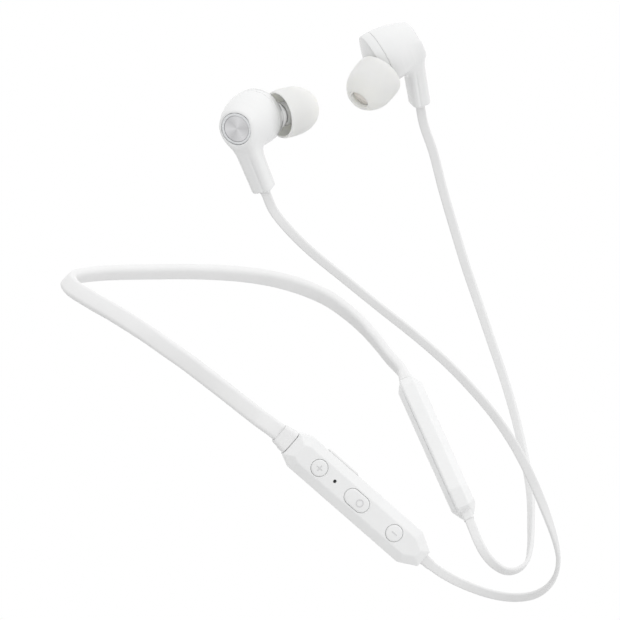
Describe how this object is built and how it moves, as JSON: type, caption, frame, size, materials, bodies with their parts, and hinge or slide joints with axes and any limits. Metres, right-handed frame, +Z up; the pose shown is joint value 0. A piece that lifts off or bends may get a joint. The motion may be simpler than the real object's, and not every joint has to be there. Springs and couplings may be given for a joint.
{
  "type": "neckband earphones",
  "caption": "Wireless neckband earphones: flexible oval band with a bevelled button casing and a bevelled battery casing, flat cords and angled in-ear buds with metal caps and silicone tips.",
  "frame": {"origin": "middle of the band's inner face at the nape, where the neck carries it", "axes": "+X forward the way the wearer faces, +Y to the wearer's left, +Z up"},
  "size_m": [0.1383, 0.128, 0.1291],
  "materials": {
    "casing_white": "satin moulded white plastic",
    "soft_white": "soft-touch white rubber",
    "cord_white": "matt white flat cord",
    "tip_silicone": "translucent off-white silicone",
    "trim_metal": "plain metal",
    "cap_metal": "spun metal with a polished ring",
    "board_green": "solder mask",
    "dark_plastic": "dark moulded plastic",
    "spring_steel": "spring steel wire",
    "cell_foil": "foil pouch cell"
  },
  "bodies": {
    "neckband": {"neckband_sleeve": "soft_white", "memory_wire": "spring_steel", "neckband_lead": "dark_plastic", "control_front_shell": "casing_white", "control_back_shell": "casing_white", "control_collar": "soft_white", "control_cord_relief": "soft_white", "button_membrane": "soft_white", "key_flex_board": "board_green", "volume_up_dome_switch": "trim_metal", "play_dome_switch": "trim_metal", "volume_down_dome_switch": "trim_metal", "microphone": "dark_plastic", "control_board": "board_green", "radio_module": "trim_metal", "charging_connector": "trim_metal", "battery_front_shell": "casing_white", "battery_back_shell": "casing_white", "battery_collar": "soft_white", "battery_cord_relief": "soft_white", "battery_cell": "cell_foil", "protection_board": "board_green", "battery_foam_pad": "dark_plastic", "right_cord": "cord_white", "left_cord": "cord_white", "right_rear_housing": "casing_white", "right_cap_ring": "cap_metal", "right_cap_disc": "cap_metal", "right_driver_frame": "dark_plastic", "right_driver_magnet": "trim_metal", "right_driver_diaphragm": "dark_plastic", "right_front_housing": "casing_white", "right_nozzle_mesh": "trim_metal", "right_cord_grommet": "soft_white", "left_rear_housing": "casing_white", "left_cap_ring": "cap_metal", "left_cap_disc": "cap_metal", "left_driver_frame": "dark_plastic", "left_driver_magnet": "trim_metal", "left_driver_diaphragm": "dark_plastic", "left_front_housing": "casing_white", "left_nozzle_mesh": "trim_metal", "left_cord_grommet": "soft_white"},
    "volume_up_button": {"volume_up_button": "casing_white"},
    "play_button": {"play_button": "casing_white"},
    "volume_down_button": {"volume_down_button": "casing_white"},
    "port_cover": {"port_cover": "soft_white"},
    "right_ear_tip": {"right_ear_tip": "tip_silicone"},
    "left_ear_tip": {"left_ear_tip": "tip_silicone"}
  },
  "joints": [
    {"name": "volume_up_press", "type": "slide", "parent": "neckband", "child": "volume_up_button", "axis": [-0.4653, 0.8851, -0.0059], "range_m": [0, 0.00025], "stiffness_N_per_m": 300},
    {"name": "play_press", "type": "slide", "parent": "neckband", "child": "play_button", "axis": [-0.4653, 0.8851, -0.0059], "range_m": [0, 0.00025], "stiffness_N_per_m": 300},
    {"name": "volume_down_press", "type": "slide", "parent": "neckband", "child": "volume_down_button", "axis": [-0.4653, 0.8851, -0.0059], "range_m": [0, 0.00025], "stiffness_N_per_m": 300},
    {"name": "port_cover_swing", "type": "hinge", "parent": "neckband", "child": "port_cover", "pos_m": [0.08489, -0.03894, -0.03934], "axis": [-0.4653, 0.8851, -0.0059], "range_deg": [0, 100]},
    {"name": "right_ear_tip_pull", "type": "slide", "parent": "neckband", "child": "right_ear_tip", "axis": [0.5926, 0.79, 0.1573], "range_m": [0, 0.009]},
    {"name": "left_ear_tip_pull", "type": "slide", "parent": "neckband", "child": "left_ear_tip", "axis": [-0.3271, -0.7454, -0.5808], "range_m": [0, 0.009]}
  ]
}
